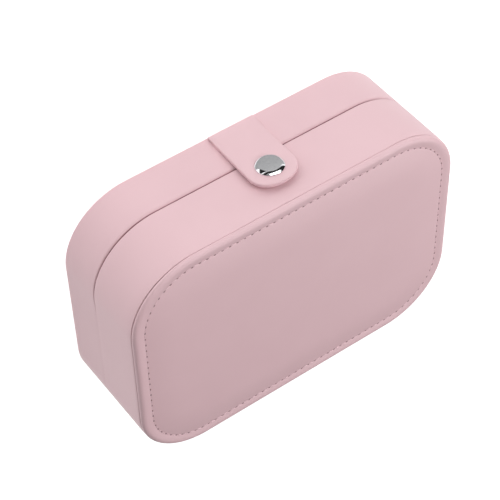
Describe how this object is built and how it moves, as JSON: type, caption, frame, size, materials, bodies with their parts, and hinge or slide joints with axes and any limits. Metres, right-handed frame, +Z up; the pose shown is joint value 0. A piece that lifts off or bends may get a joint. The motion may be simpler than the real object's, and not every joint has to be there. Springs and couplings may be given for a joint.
{
  "type": "travel jewellery case",
  "caption": "Leather-covered travel jewellery case with rounded corners: a padded lid on a leather hinge, a strap with a press stud, and ring rolls, dividers, hooks and a pocket inside.",
  "frame": {"origin": "centre of the flat underside of the base panel, on the surface that the case rests on", "axes": "+Z up through the lid, +X along the case's length, -Y towards the front wall with the strap, +Y towards the hinge"},
  "size_m": [0.165, 0.1229, 0.0513],
  "materials": {
    "leather_cover": "satin",
    "velvet_lining": "matte",
    "velvet_roll": "matte",
    "tray_plastic": "matte",
    "grey_board": "matte",
    "foam_sheet": "matte",
    "polished_metal": "polished",
    "elastic_band": "matte"
  },
  "bodies": {
    "base": {"base_shell": "tray_plastic", "base_side_wrap": "leather_cover", "base_lining_floor": "velvet_lining", "base_lining_wall": "velvet_lining", "base_panel_board": "grey_board", "base_panel_foam": "foam_sheet", "base_panel_cover": "leather_cover", "strap_anchor": "leather_cover", "hinge_leather": "leather_cover", "hinge_lining": "velvet_lining", "ring_partition": "velvet_lining", "ring_roll_1": "velvet_roll", "ring_roll_2": "velvet_roll", "ring_roll_3": "velvet_roll", "ring_roll_4": "velvet_roll", "ring_roll_5": "velvet_roll"},
    "lid": {"lid_shell": "tray_plastic", "lid_side_wrap": "leather_cover", "lid_lining_ceiling": "velvet_lining", "lid_lining_wall": "velvet_lining", "lid_panel_board": "grey_board", "lid_panel_foam": "foam_sheet", "lid_panel_cover": "leather_cover", "snap_stud": "polished_metal", "snap_post": "polished_metal", "hook_strip": "velvet_lining", "pocket_cloth": "velvet_lining", "pocket_elastic": "elastic_band", "necklace_hook_1": "polished_metal", "necklace_hook_2": "polished_metal", "necklace_hook_3": "polished_metal", "necklace_hook_4": "polished_metal", "necklace_hook_5": "polished_metal"},
    "strap": {"strap_outer": "leather_cover", "strap_inner": "leather_cover", "snap_cap": "polished_metal", "snap_socket": "polished_metal"},
    "long_divider": {"long_divider": "velvet_lining"},
    "front_divider": {"front_divider": "velvet_lining"},
    "back_divider": {"back_divider": "velvet_lining"}
  },
  "joints": [
    {"name": "lid_hinge", "type": "hinge", "parent": "base", "child": "lid", "pos_m": [0, 0.0585, 0.02245], "axis": [-1, 0, 0], "range_deg": [0, 135], "deforming": ["hinge_leather", "hinge_lining"]},
    {"name": "strap_fold", "type": "hinge", "parent": "base", "child": "strap", "pos_m": [0, -0.05965, 0.001], "axis": [1, 0, 0], "range_deg": [0, 80]},
    {"name": "long_divider_lift", "type": "slide", "parent": "base", "child": "long_divider", "axis": [0, 0, 1], "range_m": [0, 0.015]},
    {"name": "front_divider_lift", "type": "slide", "parent": "base", "child": "front_divider", "axis": [0, 0, 1], "range_m": [0, 0.015]},
    {"name": "back_divider_lift", "type": "slide", "parent": "base", "child": "back_divider", "axis": [0, 0, 1], "range_m": [0, 0.015]}
  ]
}
